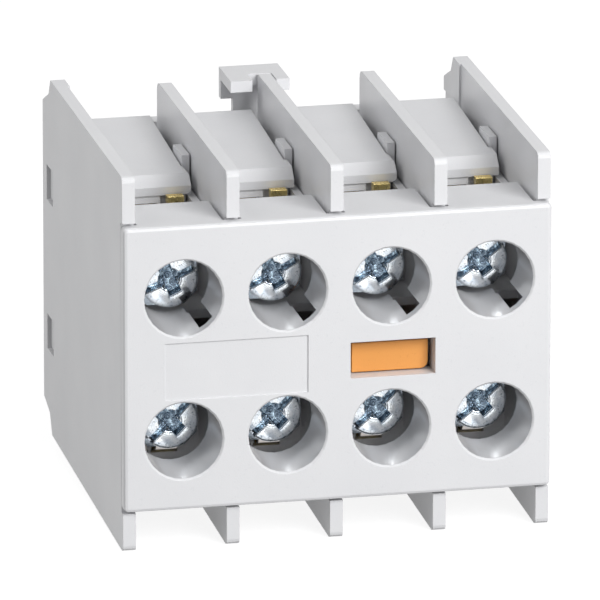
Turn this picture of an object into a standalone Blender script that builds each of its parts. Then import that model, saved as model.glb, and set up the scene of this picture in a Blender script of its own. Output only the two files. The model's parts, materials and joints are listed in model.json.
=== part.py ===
"""Auxiliary contact block for the front of a small contactor: four poles, two that close and two that open.

Metres, +Z up. The front face looks along -Y. The block stands on the feet of its barriers, and its
origin is below the middle of its width and depth. Inside this file a place is given in the block's
own coordinates: x from the middle plane, y from the front face backwards, and z from the feet. The
empty named block_frame carries them to the middle of the depth.
"""

import math

import bmesh
import bpy
from mathutils import Matrix, Vector

MM = 0.001
TURN = 2 * math.pi

# Clearances
TOUCH = 0.10 * MM  # between small metal pieces that bear on each other
SEAM = 0.12 * MM  # where the cover closes on the side walls
FIT = 0.30 * MM  # between moulded pieces
SLIDE = 0.25 * MM  # round what slides
OVERLAP = 0.20 * MM  # how far two shapes of one moulding run into each other

# Whole block
POLES = 4
WIDTH = 44.0 * MM
DEPTH = 41.6 * MM
WALL = 1.33 * MM
ROW_MID = 19.02 * MM  # height of the middle between the two rows of screws
ROW_RISE = 7.465 * MM  # from there to either row
COLUMN_SHIFT = 0.12 * MM  # the wells sit a little right of the bays' middles
UPPER, LOWER = 1, -1

# Front cover
COVER_TOP = 34.08 * MM
COVER_BOTTOM = 4.32 * MM
COVER_WALL = 1.40 * MM
COVER_EDGE = 0.45 * MM
PAD_DEPTH = 8.35 * MM
PAD_CORNER = 0.35 * MM
WELL_D = 8.00 * MM
WELL_DRAFT = 0.125 * MM  # by which the bore narrows on each side, down its depth
WELL_DEPTH = 6.40 * MM
WELL_WALL = 0.42 * MM
TROUGH_START, TROUGH_END = -12, -5  # facets of the well, counted from its right side
WELL_RIM = 0.18 * MM
GATE_RING = 1.25 * MM  # front ring left whole where an upper well is cut open
GATE_START, GATE_END = math.radians(-62), math.radians(-37)
LABEL_LEFT, LABEL_RIGHT = -17.80 * MM, -3.10 * MM
LABEL_BOTTOM, LABEL_TOP = 15.87 * MM, 21.86 * MM
LABEL_DEPTH = 0.15 * MM
FLAG_X = 5.63 * MM
FLAG_Z = 18.90 * MM
FLAG_WINDOW_W = 8.75 * MM
FLAG_WINDOW_H = 3.77 * MM
FLAG_RIM = 0.80 * MM  # wall of the frame behind the window
FLAG_RIM_DEPTH = 2.60 * MM

# Snap arms of the cover
ARM_W = 0.80 * MM
ARM_BOTTOM = 12.30 * MM  # above the middle between the rows, as all heights of the halves below
ARM_TOP = 13.75 * MM
BARB_FRONT = 17.90 * MM
BARB_LENGTH = 4.50 * MM
BARB_TOP = 17.15 * MM
BARB_RADIUS = 0.50 * MM

# Barriers and side walls
BARRIER_RISE = 4.83 * MM  # above the ledge
BARRIER_SETBACK = 0.78 * MM
BARRIER_END = 1.90 * MM  # from there to the rear base
BARRIER_CORNER = 0.60 * MM
BARRIER_REAR_CORNER = 1.00 * MM
FOOT_GAP = 0.33 * MM  # dark line between a barrier's foot and the cover's ledge
FOOT_RISE = 1.06 * MM  # how far the lower edges rise towards the back
SIDE_TOP_RECESS = 4.15 * MM  # from the end of the top edge to the back
SIDE_FOOT_RECESS = 4.24 * MM
SIDE_SHOULDER_DROP = 2.64 * MM
SIDE_BACK_DROP = 3.17 * MM
SIDE_BACK_BOTTOM = 4.12 * MM
SIDE_SLOPE_RUN, SIDE_SLOPE_RISE = 1.00 * MM, 0.90 * MM  # corner where the top edge turns down
SIDE_REAR_RUN, SIDE_REAR_RISE = 2.00 * MM, 0.40 * MM  # and where it meets the back
SIDE_FOOT_RUN, SIDE_FOOT_DROP = 1.20 * MM, 0.95 * MM  # and at the foot
SIDE_BAND = 2.80 * MM  # the thicker end of the wall's top, above the rear base
SIDE_BAND_PROUD = 0.20 * MM
WINDOW_LEAD = 0.50 * MM  # the windows start this far in front of the rear base
WINDOW_LENGTH = 3.20 * MM
WINDOW_HEIGHT = 3.75 * MM
WINDOW_UPPER, WINDOW_LOWER = 27.82 * MM, 11.72 * MM

# Roofs, backing walls and shelves of the housing
NOSE_Y = 14.40 * MM
NOSE_BOTTOM = 14.07 * MM
NOSE_FACE = 0.88 * MM
NOSE_BEVEL = 1.06 * MM
NOSE_GAP = 0.75 * MM  # beside the nose's right end
NOSE_ROUND = 0.45 * MM
ROOF_SLOPE = math.tan(math.radians(3.6))
ROOF_END = 3.80 * MM  # from there to the rear base
ROOF_THICKNESS = 1.40 * MM
ROOF_SLIT = 1.15 * MM
BACKING = 1.50 * MM
RECESS_BOTTOM = 12.80 * MM
RECESS = 0.30 * MM  # of the wall under the nose
TAB_RECESS = 0.80 * MM  # of the same wall, round the strip's tab
TAB_ROOM = 0.45 * MM  # beside the tab
SHELF_BOTTOM = 2.60 * MM
SHELF_TOP = 3.50 * MM

# Terminals: screw, clamp washer and brass strip
SCREW_FACE = 6.80 * MM
SCREW_HEAD_D = 6.00 * MM
SCREW_HEAD = 2.00 * MM
SCREW_D = 2.70 * MM
SCREW_LENGTH = 7.20 * MM
SCREW_HOLE_D = 3.00 * MM
SCREW_ROOM_D = 3.60 * MM
SLOT_W = 0.85 * MM
SLOT_DEPTH = 1.10 * MM
CROSS_W = 1.15 * MM
CROSS_LENGTH = 3.40 * MM
CROSS_DEPTH = 1.45 * MM
WASHER_SIDE = 6.40 * MM
WASHER = 0.90 * MM
WASHER_HOLE_D = 3.40 * MM
WASHER_CORNER = 1.30 * MM
GROOVE = 0.25 * MM
GROOVE_OFFSET = 2.30 * MM
STRIP = 1.00 * MM
STRIP_W = 6.60 * MM
STRIP_BEND = 0.90 * MM
STRIP_INNER = 3.60 * MM  # from the screw's axis towards the middle
STRIP_OUTER = 5.60 * MM
TAB_LEFT, TAB_RIGHT, TAB_TOP = 1.10 * MM, 2.80 * MM, 6.80 * MM
RUNNER_LEFT, RUNNER_RIGHT = -2.10 * MM, 0.10 * MM
RUNNER_Z = 4.95 * MM
LEG_HALF = 1.90 * MM
LEG_TAIL = 1.50 * MM  # past the tip's middle

# Contacts
TIP_RISE = 5.60 * MM  # tips, from the middle between the rows
TIP_D = 2.20 * MM
TIP = 0.50 * MM
BRIDGE = 0.80 * MM
BRIDGE_HALF_W = 1.70 * MM
BRIDGE_HALF_L = 6.90 * MM
BRIDGE_BOSS_D = 1.50 * MM
BRIDGE_BOSS = 0.50 * MM
CLOSING_POLES = (1, 4)
OPENING_LEG_Y = 19.30 * MM
TRAVEL = 2.90 * MM  # of a bridge, from open to closed
OVERTRAVEL = 1.20 * MM  # of the carrier, with the contacts closed

# Carrier
FLAG_FACE = 1.60 * MM
FLAG_THICKNESS = 1.80 * MM
FLAG_GAP_TOP, FLAG_GAP_BOTTOM = 0.60 * MM, 0.15 * MM  # to the window's edges
FLAG_GAP_LEFT, FLAG_GAP_RIGHT = 0.48 * MM, 0.42 * MM
FLAG_CORNER = 0.72 * MM
STEM_HALF = 1.20 * MM
CAGE_HALF = 3.00 * MM
CAGE_WALL = 0.90 * MM
CAGE_END = 1.00 * MM
BEAM = 3.00 * MM
BEAM_HALF = 2.60 * MM
HOOK_W = 4.00 * MM
HOOK_HALF = 1.50 * MM
HOOK_REACH = 2.30 * MM  # past the rear base
HOOK_BAR = 1.50 * MM
HOOK_BAR_W = 6.80 * MM

# Springs
CONTACT_SPRING_D = 2.90 * MM
CONTACT_SPRING_WIRE = 0.36 * MM
CONTACT_SPRING_LENGTH = 4.30 * MM  # on a pole that is open at rest
CONTACT_SPRING_TURNS = 5
RETURN_SPRING_D = 4.00 * MM
RETURN_SPRING_WIRE = 0.45 * MM
RETURN_SPRING_TURNS = 6
PEG_D = 2.60 * MM
PEG = 0.90 * MM

# Rear base
BASE_RECESS = 2.70 * MM  # behind the side walls' back edges
BASE = 2.00 * MM
BASE_RISE = 15.30 * MM  # half its height
TONGUE_LENGTH = 5.90 * MM
TONGUE = 1.10 * MM
TONGUE_TOP = 15.25 * MM
TAB_GAP = 0.30 * MM
LATCH_X = -0.90 * MM
LATCH_W = 6.20 * MM
LATCH_ARM_W = 3.60 * MM
LATCH_ARM = 1.00 * MM
LATCH_LENGTH = 5.90 * MM
LATCH_LIP = 1.20 * MM
LATCH_REAR_WALL = 3.20 * MM
LATCH_NOTCH_END = 3.40 * MM  # from there to the back of the head
LATCH_NOTCH_LEFT = 1.05 * MM
LATCH_SLOT = 0.80 * MM
LATCH_SLOT_LENGTH = 9.00 * MM
CATCH = 1.50 * MM
CATCH_RISE = 12.60 * MM
CLAW_X = 12.00 * MM
CLAW_W = 5.00 * MM
CLAW = 1.10 * MM
CLAW_LENGTH = 2.40 * MM
CLAW_LIP = 1.10 * MM

# Facets
SAME_POINT = 0.002 * MM
FLAT_ANGLE = math.radians(0.2)
WELL_FACETS = 28
SCREW_FACETS = 18
HOLE_FACETS = 14
TIP_FACETS = 12
SPRING_FACETS = 9  # along one turn
WIRE_FACETS = 4

# Derived places
PITCH = (WIDTH - WALL) / POLES
WELL_END_D = WELL_D - 2 * WELL_DRAFT
BARRIER_TOP = COVER_TOP + FOOT_GAP + BARRIER_RISE
SIDE_SHOULDER = BARRIER_TOP - SIDE_SHOULDER_DROP
SIDE_BACK_TOP = BARRIER_TOP - SIDE_BACK_DROP
SIDE_TOP_DEPTH = DEPTH - SIDE_TOP_RECESS
SIDE_FOOT_DEPTH = DEPTH - SIDE_FOOT_RECESS
BASE_BACK = DEPTH - BASE_RECESS
BASE_FRONT = BASE_BACK - BASE
BARRIER_DEPTH = BASE_FRONT - BARRIER_END
WINDOW_FRONT = BASE_FRONT - WINDOW_LEAD
ROOF_BACK = BASE_FRONT - ROOF_END
TONGUE_FRONT = BASE_FRONT - TONGUE_LENGTH
LATCH_FRONT = BASE_BACK - LATCH_LENGTH
LATCH_NOTCH_Y = BASE_BACK - LATCH_NOTCH_END
HOOK_END_Y = BASE_BACK + HOOK_REACH
NOSE_BACK = BARB_FRONT - FIT
WASHER_Y = SCREW_FACE + SCREW_HEAD + TOUCH
TROUGH_DEPTH = WASHER_Y - FIT
SHELF_FRONT = TROUGH_DEPTH + FIT
STRIP_Y = NOSE_Y - FIT - STRIP
CLOSING_SEAT_Y = 17.70 * MM
CLOSING_BRIDGE_Y = CLOSING_SEAT_Y + CAGE_END + CONTACT_SPRING_LENGTH + 2 * TOUCH
CLOSING_LEG_Y = CLOSING_BRIDGE_Y + BRIDGE + 2 * TIP + TRAVEL + TOUCH
OPENING_BRIDGE_Y = OPENING_LEG_Y + STRIP + 2 * TIP + TOUCH
PRESSED_SPRING_LENGTH = CONTACT_SPRING_LENGTH - OVERTRAVEL
OPENING_SEAT_Y = OPENING_BRIDGE_Y + BRIDGE + PRESSED_SPRING_LENGTH + 2 * TOUCH
BEAM_Y = max(OPENING_SEAT_Y, CLOSING_BRIDGE_Y + BRIDGE + TOUCH + CAGE_END)
BEAM_END = BEAM_Y + BEAM
RETURN_SPRING_LENGTH = BASE_FRONT - BEAM_END - 2 * TOUCH


def bay_left(bay):
    """Right face of the barrier on the left of bay 1 to 4."""
    return -WIDTH / 2 + (bay - 1) * PITCH + WALL


def bay_right(bay):
    """Left face of the barrier on the right of the bay."""
    return -WIDTH / 2 + bay * PITCH


def column(bay):
    """Middle of the bay's wells and terminals."""
    return (bay_left(bay) + bay_right(bay)) / 2 + COLUMN_SHIFT


def roof_top(y):
    """Height of the roof's upper side above the middle between the rows."""
    return NOSE_BOTTOM + NOSE_FACE + NOSE_BEVEL + (y - NOSE_Y - NOSE_BEVEL) * ROOF_SLOPE


def at_terminal(bay, row):
    """From a terminal's own coordinates, with its screw's axis at x = z = 0, to the block's."""
    place = Matrix.Translation((column(bay), 0, ROW_MID + row * ROW_RISE))
    return place if row == UPPER else place @ Matrix.Rotation(math.pi, 4, "Y")


def half_turn():
    """Turns the upper half of the block onto its lower half."""
    middle = Matrix.Translation((0, 0, ROW_MID))
    return middle @ Matrix.Rotation(math.pi, 4, "Y") @ middle.inverted()


def clear_scene():
    for obj in list(bpy.data.objects):
        bpy.data.objects.remove(obj)


def make_material(name, color, roughness, metallic=0.0):
    material = bpy.data.materials.new(name)
    material.use_nodes = True
    shader = material.node_tree.nodes["Principled BSDF"]
    shader.inputs["Base Color"].default_value = (*color, 1.0)
    shader.inputs["Roughness"].default_value = roughness
    shader.inputs["Metallic"].default_value = metallic
    return material


def to_object(shape, name):
    """Turns a bmesh into an object of the scene."""
    bmesh.ops.recalc_face_normals(shape, faces=shape.faces)
    mesh = bpy.data.meshes.new(name)
    shape.to_mesh(mesh)
    shape.free()
    obj = bpy.data.objects.new(name, mesh)
    bpy.context.scene.collection.objects.link(obj)
    return obj


def sweep(outline, axis, start, end, name="sweep"):
    """A flat outline carried along X, Y or Z. Its pairs are (y, z), (x, z) or (x, y)."""
    def point(pair, along):
        a, b = pair
        return {"X": (along, a, b), "Y": (a, along, b), "Z": (a, b, along)}[axis]

    shape = bmesh.new()
    face = shape.faces.new([shape.verts.new(point(pair, start)) for pair in outline])
    grown = bmesh.ops.extrude_face_region(shape, geom=[face])["geom"]
    moved = [item for item in grown if isinstance(item, bmesh.types.BMVert)]
    bmesh.ops.translate(shape, verts=moved, vec=Vector(point((0, 0), end - start)))
    return to_object(shape, name)


def box(x_range, y_range, z_range, name="box"):
    (left, right), (front, back), (low, high) = x_range, y_range, z_range
    outline = [(left, low), (right, low), (right, high), (left, high)]
    return sweep(outline, "Y", front, back, name)


def turned(profile, facets, name="turned"):
    """A solid of revolution about Y. The profile's pairs are (radius, y). It ends on the axis or closes."""
    shape = bmesh.new()
    ring = [shape.verts.new((radius, y, 0)) for radius, y in profile]
    edges = [shape.edges.new(pair) for pair in zip(ring, ring[1:])]
    if profile[0][0] > 0:
        edges.append(shape.edges.new((ring[-1], ring[0])))
    bmesh.ops.spin(shape, geom=ring + edges, axis=(0, 1, 0), cent=(0, 0, 0), steps=facets, angle=TURN)
    bmesh.ops.remove_doubles(shape, verts=shape.verts, dist=1e-7)
    return to_object(shape, name)


def cylinder(radius, start, end, facets, name="cylinder"):
    return turned([(0, start), (radius, start), (radius, end), (0, end)], facets, name)


def arc(centre, radius, start, end, steps=4):
    """Points of an arc between two angles in degrees."""
    angles = [math.radians(start + (end - start) * step / steps) for step in range(steps + 1)]
    x, y = centre
    return [(x + radius * math.cos(angle), y + radius * math.sin(angle)) for angle in angles]


def rounded_rectangle(left, right, low, high, radius, steps=3):
    corners = (
        ((right - radius, high - radius), 0),
        ((left + radius, high - radius), 90),
        ((left + radius, low + radius), 180),
        ((right - radius, low + radius), 270),
    )
    return [point for centre, start in corners for point in arc(centre, radius, start, start + 90, steps)]


def folded(path, thickness, radius, steps=2):
    """Outline of sheet metal bent at each corner of its middle line. The radius is the middle line's."""
    points = [Vector(point) for point in path]
    runs = [(after - before).normalized() for before, after in zip(points, points[1:])]
    normals = [Vector((-run.y, run.x)) for run in runs]
    line = [(points[0], normals[0])]
    for corner, before, after, normal in zip(points[1:], runs, runs[1:], normals):
        bend = math.atan2(before.cross(after), before.dot(after))
        inward = normal * math.copysign(radius, bend)
        centre = corner - before * radius * math.tan(abs(bend) / 2) + inward
        for step in range(steps + 1):
            turn = Matrix.Rotation(bend * step / steps, 2)
            line.append((centre - turn @ inward, turn @ normal))
    line.append((points[-1], normals[-1]))
    left = [point + normal * thickness / 2 for point, normal in line]
    right = [point - normal * thickness / 2 for point, normal in reversed(line)]
    return [tuple(point) for point in left + right]


def moved(obj, matrix):
    """Moves the shape itself, so that the object's own origin stays where it is."""
    obj.data.transform(matrix)
    return obj


def doubled(obj):
    """The shape, and a copy of it turned onto the other half of the block."""
    other = obj.copy()
    other.data = obj.data.copy()
    bpy.context.scene.collection.objects.link(other)
    return [obj, moved(other, half_turn())]


def combine(target, tools, operation):
    """Unites the tools with the target, or cuts them out of it, all at once, and keeps only the result."""
    group = bpy.data.collections.new("tools")
    for tool in tools:
        group.objects.link(tool)
    modifier = target.modifiers.new(operation.title(), "BOOLEAN")
    modifier.operation = operation
    modifier.solver = "EXACT"
    modifier.operand_type = "COLLECTION"
    modifier.collection = group
    graph = bpy.context.evaluated_depsgraph_get()
    result = bpy.data.meshes.new_from_object(target.evaluated_get(graph))
    target.modifiers.clear()
    target.data = result
    for tool in tools:
        bpy.data.objects.remove(tool)
    bpy.data.collections.remove(group)
    tidy_mesh(result)
    return target


def tidy_mesh(mesh):
    """Merges points that a Boolean left on top of each other, and dissolves the edges inside flat faces."""
    shape = bmesh.new()
    shape.from_mesh(mesh)
    bmesh.ops.remove_doubles(shape, verts=shape.verts, dist=SAME_POINT)
    bmesh.ops.dissolve_degenerate(shape, edges=shape.edges, dist=SAME_POINT)
    bmesh.ops.dissolve_limit(shape, angle_limit=FLAT_ANGLE, verts=shape.verts, edges=shape.edges)
    shape.to_mesh(mesh)
    shape.free()


def fuse(target, tools):
    return combine(target, tools, "UNION")


def cut(target, tools):
    return combine(target, tools, "DIFFERENCE")


def finish(obj, name, material, smooth_angle=30):
    """Names the piece, gives it its material, and shades it smooth between its sharp edges."""
    obj.name = name
    obj.data.name = name
    obj.data.materials.clear()
    obj.data.materials.append(material)
    obj.data.shade_smooth()
    obj.data.set_sharp_from_angle(angle=math.radians(smooth_angle))
    return obj


def set_origin(obj, origin):
    """Puts the object's origin on a point, with the shape left where it is."""
    obj.data.transform(Matrix.Translation(-Vector(origin)))
    obj.location = origin
    return obj


def copies(original, name, places, frame):
    """One object for each place, all with the original's mesh. The original is used for the first."""
    made = []
    for label, matrix in places:
        obj = original if not made else original.copy()
        if made:
            bpy.context.scene.collection.objects.link(obj)
        obj.name = f"{name}_{label}"
        obj.matrix_basis = matrix
        obj.parent = frame
        made.append(obj)
    return made


def well_cutter(bay, row):
    """The tapered bore of a screw well, with a chamfered rim."""
    mouth, end = WELL_D / 2, WELL_DEPTH + OVERLAP
    profile = [
        (0, -WELL_RIM), (mouth + 2 * WELL_RIM, -WELL_RIM), (mouth, WELL_RIM),
        (WELL_END_D / 2, end), (0, end),
    ]
    return moved(turned(profile, WELL_FACETS), at_terminal(bay, row))


def well_collar(bay, row):
    radius = WELL_D / 2 + WELL_WALL
    return moved(cylinder(radius, COVER_WALL / 2, WELL_DEPTH, WELL_FACETS), at_terminal(bay, row))


def well_trough(bay, row):
    """The deeper inner side of a well, which ends just in front of the washer."""
    facet = 360 / WELL_FACETS
    start, end, steps = TROUGH_START * facet, TROUGH_END * facet, TROUGH_END - TROUGH_START
    inner, outer = WELL_END_D / 2, WELL_D / 2 + WELL_WALL
    outline = arc((0, 0), outer, start, end, steps) + arc((0, 0), inner, end, start, steps)
    return moved(sweep(outline, "Y", WELL_DEPTH - OVERLAP, TROUGH_DEPTH), at_terminal(bay, row))


def gate_cutter(bay):
    """Opens the lower right of an upper well behind its front ring."""
    inner, outer = WELL_END_D / 2 - OVERLAP, WELL_D / 2 + WELL_WALL + OVERLAP
    start, end = math.degrees(GATE_START), math.degrees(GATE_END)
    outline = arc((0, 0), outer, start, end, 5) + arc((0, 0), inner, end, start, 5)
    return moved(sweep(outline, "Y", GATE_RING, WELL_DEPTH + OVERLAP), at_terminal(bay, UPPER))


def cover_plate():
    """The flat front, with all its front edges rounded."""
    outline = rounded_rectangle(-WIDTH / 2, WIDTH / 2, COVER_BOTTOM, COVER_TOP, COVER_EDGE)
    plate = sweep(outline, "Y", 0, COVER_WALL, "cover_plate")
    shape = bmesh.new()
    shape.from_mesh(plate.data)
    rim = [edge for edge in shape.edges if all(vert.co.y < COVER_WALL / 4 for vert in edge.verts)]
    bmesh.ops.bevel(shape, geom=rim, offset=COVER_EDGE * 0.8, segments=2, profile=0.5, affect="EDGES")
    shape.to_mesh(plate.data)
    shape.free()
    return plate


def cover_pad(bay, low, high):
    """The part of the cover's top or bottom wall that lies between two barriers."""
    left, right = bay_left(bay) + FIT, bay_right(bay) - FIT
    back = arc((right - PAD_CORNER, PAD_DEPTH - PAD_CORNER), PAD_CORNER, 0, 90, 3)
    outline = [(left, COVER_WALL - OVERLAP), (right, COVER_WALL - OVERLAP), *back, (left, PAD_DEPTH)]
    return sweep(outline, "Z", low, high)


def snap_arm(bay):
    """A springy arm that runs back beside the barrier. Its barb stands up through the roof's slit."""
    low, high, top = (ROW_MID + rise for rise in (ARM_BOTTOM, ARM_TOP, BARB_TOP))
    end = BARB_FRONT + BARB_LENGTH
    corner = arc((end - BARB_RADIUS, top - BARB_RADIUS), BARB_RADIUS, 90, 0, 3)
    outline = [
        (COVER_WALL - OVERLAP, low), (COVER_WALL - OVERLAP, high), (BARB_FRONT, high),
        (BARB_FRONT, top), *corner, (end, low),
    ]
    right = bay_right(bay) - (ROOF_SLIT - ARM_W) / 2
    return sweep(outline, "X", right - ARM_W, right)


def flag_frame():
    """The walls behind the flag's window."""
    half_w, half_h = FLAG_WINDOW_W / 2 + FLAG_RIM, FLAG_WINDOW_H / 2 + FLAG_RIM
    ends = (COVER_WALL / 2, FLAG_RIM_DEPTH)
    return box((FLAG_X - half_w, FLAG_X + half_w), ends, (FLAG_Z - half_h, FLAG_Z + half_h))


def flag_window():
    half_w, half_h = FLAG_WINDOW_W / 2, FLAG_WINDOW_H / 2
    ends = (-COVER_WALL, FLAG_RIM_DEPTH + OVERLAP)
    return box((FLAG_X - half_w, FLAG_X + half_w), ends, (FLAG_Z - half_h, FLAG_Z + half_h))


def label_recess():
    return box((LABEL_LEFT, LABEL_RIGHT), (-LABEL_DEPTH, LABEL_DEPTH), (LABEL_BOTTOM, LABEL_TOP))


def front_cover(material, frame):
    bays = range(1, POLES + 1)
    wells = [(bay, row) for row in (UPPER, LOWER) for bay in bays]
    cover = cover_plate()
    walls = [cover_pad(bay, COVER_TOP - COVER_WALL, COVER_TOP) for bay in bays]
    walls += [cover_pad(bay, COVER_BOTTOM, COVER_BOTTOM + COVER_WALL) for bay in bays]
    collars = [piece(bay, row) for bay, row in wells for piece in (well_collar, well_trough)]
    arms = [arm for bay in bays for arm in doubled(snap_arm(bay))]
    fuse(cover, [*walls, *collars, *arms, flag_frame()])
    cut(cover, [*(well_cutter(bay, row) for bay, row in wells), flag_window(), label_recess()])
    cut(cover, [gate_cutter(bay) for bay in bays])
    finish(cover, "front_cover", material)
    cover.parent = frame


def foot_edge(y):
    """Height of the barriers' lower edges."""
    return (y - BARRIER_SETBACK) / (SIDE_FOOT_DEPTH - BARRIER_SETBACK) * FOOT_RISE


def barrier_front(seat):
    """The front edge of a side wall or barrier, from its lowest point up to its rounded top corner."""
    radius = BARRIER_CORNER
    ledge, foot = COVER_TOP + FOOT_GAP, COVER_BOTTOM - FOOT_GAP
    top = arc((BARRIER_SETBACK + radius, BARRIER_TOP - radius), radius, 180, 90, 3)
    bottom = arc((BARRIER_SETBACK + radius, radius), radius, 270, 180, 3)
    return [*bottom, (BARRIER_SETBACK, foot), (seat, foot)], [(seat, ledge), (BARRIER_SETBACK, ledge), *top]


def side_wall():
    """The left side wall, with its windows for the base's snap tabs."""
    low, high = barrier_front(COVER_WALL + SEAM)
    back = [
        (SIDE_TOP_DEPTH, BARRIER_TOP),
        (SIDE_TOP_DEPTH + SIDE_SLOPE_RUN, SIDE_SHOULDER + SIDE_SLOPE_RISE),
        (DEPTH - SIDE_REAR_RUN, SIDE_SHOULDER + SIDE_REAR_RISE),
        (DEPTH, SIDE_BACK_TOP), (DEPTH, SIDE_BACK_BOTTOM),
        (SIDE_FOOT_DEPTH + SIDE_FOOT_RUN, SIDE_BACK_BOTTOM - SIDE_FOOT_DROP),
        (SIDE_FOOT_DEPTH, foot_edge(SIDE_FOOT_DEPTH)),
    ]
    left, right = -WIDTH / 2, -WIDTH / 2 + WALL
    wall = sweep([*low, *high, *back], "X", left, right, "side_wall")
    start, above_base = SIDE_TOP_DEPTH - SIDE_BAND, ROW_MID + BASE_RISE + FIT
    band = [(start, above_base), (start, BARRIER_TOP), *back[:4], (DEPTH, above_base)]
    fuse(wall, [sweep(band, "X", right - OVERLAP, right + SIDE_BAND_PROUD)])
    windows = []
    for middle in (WINDOW_UPPER, WINDOW_LOWER):
        across = (left - OVERLAP, right + OVERLAP)
        along = (WINDOW_FRONT, WINDOW_FRONT + WINDOW_LENGTH)
        windows.append(box(across, along, (middle - WINDOW_HEIGHT / 2, middle + WINDOW_HEIGHT / 2)))
    return cut(wall, windows)


def mirrored(obj):
    """A copy of the shape on the other side of the middle plane."""
    other = obj.copy()
    other.data = obj.data.copy()
    bpy.context.scene.collection.objects.link(other)
    other.data.transform(Matrix.Scale(-1, 4, (1, 0, 0)))
    other.data.flip_normals()
    return other


def barrier(number):
    """An inner barrier, cut away for the well collars and open behind for the carrier's beam."""
    low, high = barrier_front(COVER_WALL + FIT)
    seat, clear = COVER_WALL + FIT, WELL_DEPTH + FIT
    inside_top = COVER_TOP - COVER_WALL - FIT
    inside_bottom = COVER_BOTTOM + COVER_WALL + FIT
    throat = [(seat, inside_bottom), (clear, inside_bottom), (clear, inside_top), (seat, inside_top)]
    middle = number == POLES // 2
    back = LATCH_NOTCH_Y - SEAM if middle else BARRIER_DEPTH
    radius = OVERLAP if middle else BARRIER_REAR_CORNER
    corner = arc((back - radius, BARRIER_TOP - radius), radius, 90, 0, 3)
    slot = BEAM_HALF + FIT
    rear = [
        *corner, (back, ROW_MID + slot), (BEAM_Y - FIT, ROW_MID + slot),
        (BEAM_Y - FIT, ROW_MID - slot), (back, ROW_MID - slot), (back, foot_edge(back)),
    ]
    left = bay_right(number)
    return sweep([*low, *throat, *high, *rear], "X", left, left + WALL, "barrier")


def bay_roof(bay):
    """Roof, the backing wall behind the terminal, and the shelf that bounds it."""
    back = NOSE_Y + BACKING
    wall = NOSE_Y + RECESS
    outline = [
        (wall, NOSE_BOTTOM + OVERLAP), (back, roof_top(back)), (ROOF_BACK, roof_top(ROOF_BACK)),
        (ROOF_BACK, roof_top(ROOF_BACK) - ROOF_THICKNESS), (back, roof_top(back) - ROOF_THICKNESS),
        (back, SHELF_BOTTOM), (SHELF_FRONT, SHELF_BOTTOM), (SHELF_FRONT, SHELF_TOP),
        (NOSE_Y, SHELF_TOP), (NOSE_Y, RECESS_BOTTOM), (wall, RECESS_BOTTOM),
    ]
    raised = [(y, ROW_MID + rise) for y, rise in outline]
    return sweep(raised, "X", bay_left(bay) - OVERLAP, bay_right(bay) - ROOF_SLIT)


def bay_nose(bay):
    """The roof's bevelled front edge. It overhangs the wall, and its right end half covers the slit."""
    bevel_end = NOSE_Y + NOSE_BEVEL
    left, right = bay_left(bay) - OVERLAP, bay_right(bay) - NOSE_GAP
    outline = [
        (NOSE_Y, NOSE_BOTTOM), (NOSE_Y, NOSE_BOTTOM + NOSE_FACE), (bevel_end, roof_top(bevel_end)),
        (NOSE_BACK, roof_top(NOSE_BACK)), (NOSE_BACK, NOSE_BOTTOM),
    ]
    nose = sweep([(y, ROW_MID + rise) for y, rise in outline], "X", left, right)
    low, high = ROW_MID + NOSE_BOTTOM, ROW_MID + roof_top(NOSE_BACK)
    rounding = NOSE_ROUND if bay % 2 else NOSE_ROUND / 3
    end = [
        *arc((right - rounding, low + rounding), rounding, 270, 360, 3),
        *arc((right - rounding, high - rounding), rounding, 0, 90, 3),
    ]
    face = [(left, low), *end, (left, high)]
    return combine(nose, [sweep(face, "Y", NOSE_Y - OVERLAP, NOSE_BACK + OVERLAP)], "INTERSECT")


def slit_foot(bay):
    """The backing wall and the shelf where the roof's slit is, up to the cover's snap arm."""
    left, right = bay_right(bay) - ROOF_SLIT - OVERLAP, bay_right(bay) + OVERLAP
    back = NOSE_Y + BACKING
    top = ARM_BOTTOM - FIT
    foot = [
        (NOSE_Y, top), (back, top), (back, SHELF_BOTTOM), (SHELF_FRONT, SHELF_BOTTOM),
        (SHELF_FRONT, SHELF_TOP), (NOSE_Y, SHELF_TOP),
    ]
    return sweep([(y, ROW_MID + rise) for y, rise in foot], "X", left, right)


def terminal_cutters(bay, row):
    """Room in the backing wall for the screw's end, for the strip's runner and round its tab."""
    front, back = NOSE_Y - OVERLAP, NOSE_Y + BACKING + OVERLAP
    runner = (RUNNER_Z - STRIP / 2 - STRIP_BEND - FIT, RUNNER_Z + STRIP / 2 + FIT)
    tab = (RECESS_BOTTOM - ROW_RISE, NOSE_BOTTOM - ROW_RISE)
    to_barrier = (PITCH - WALL) / 2 - COLUMN_SHIFT
    cutters = [
        cylinder(SCREW_ROOM_D / 2, front, back, HOLE_FACETS),
        box((RUNNER_LEFT - FIT, RUNNER_RIGHT + FIT), (front, back), runner),
        box((TAB_LEFT - TAB_ROOM, to_barrier), (front, NOSE_Y + TAB_RECESS), tab),
    ]
    return [moved(cutter, at_terminal(bay, row)) for cutter in cutters]


def main_housing(material, frame):
    bays = range(1, POLES + 1)
    housing = side_wall()
    parts = [mirrored(housing)]
    parts += [barrier(number) for number in range(1, POLES)]
    for bay in bays:
        for piece in (bay_roof(bay), slit_foot(bay)):
            parts += doubled(piece)
    fuse(housing, parts)
    for row in (UPPER, LOWER):
        cut(housing, [cutter for bay in bays for cutter in terminal_cutters(bay, row)])
    fuse(housing, [nose for bay in bays for nose in doubled(bay_nose(bay))])
    finish(housing, "main_housing", material)
    housing.parent = frame


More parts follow.
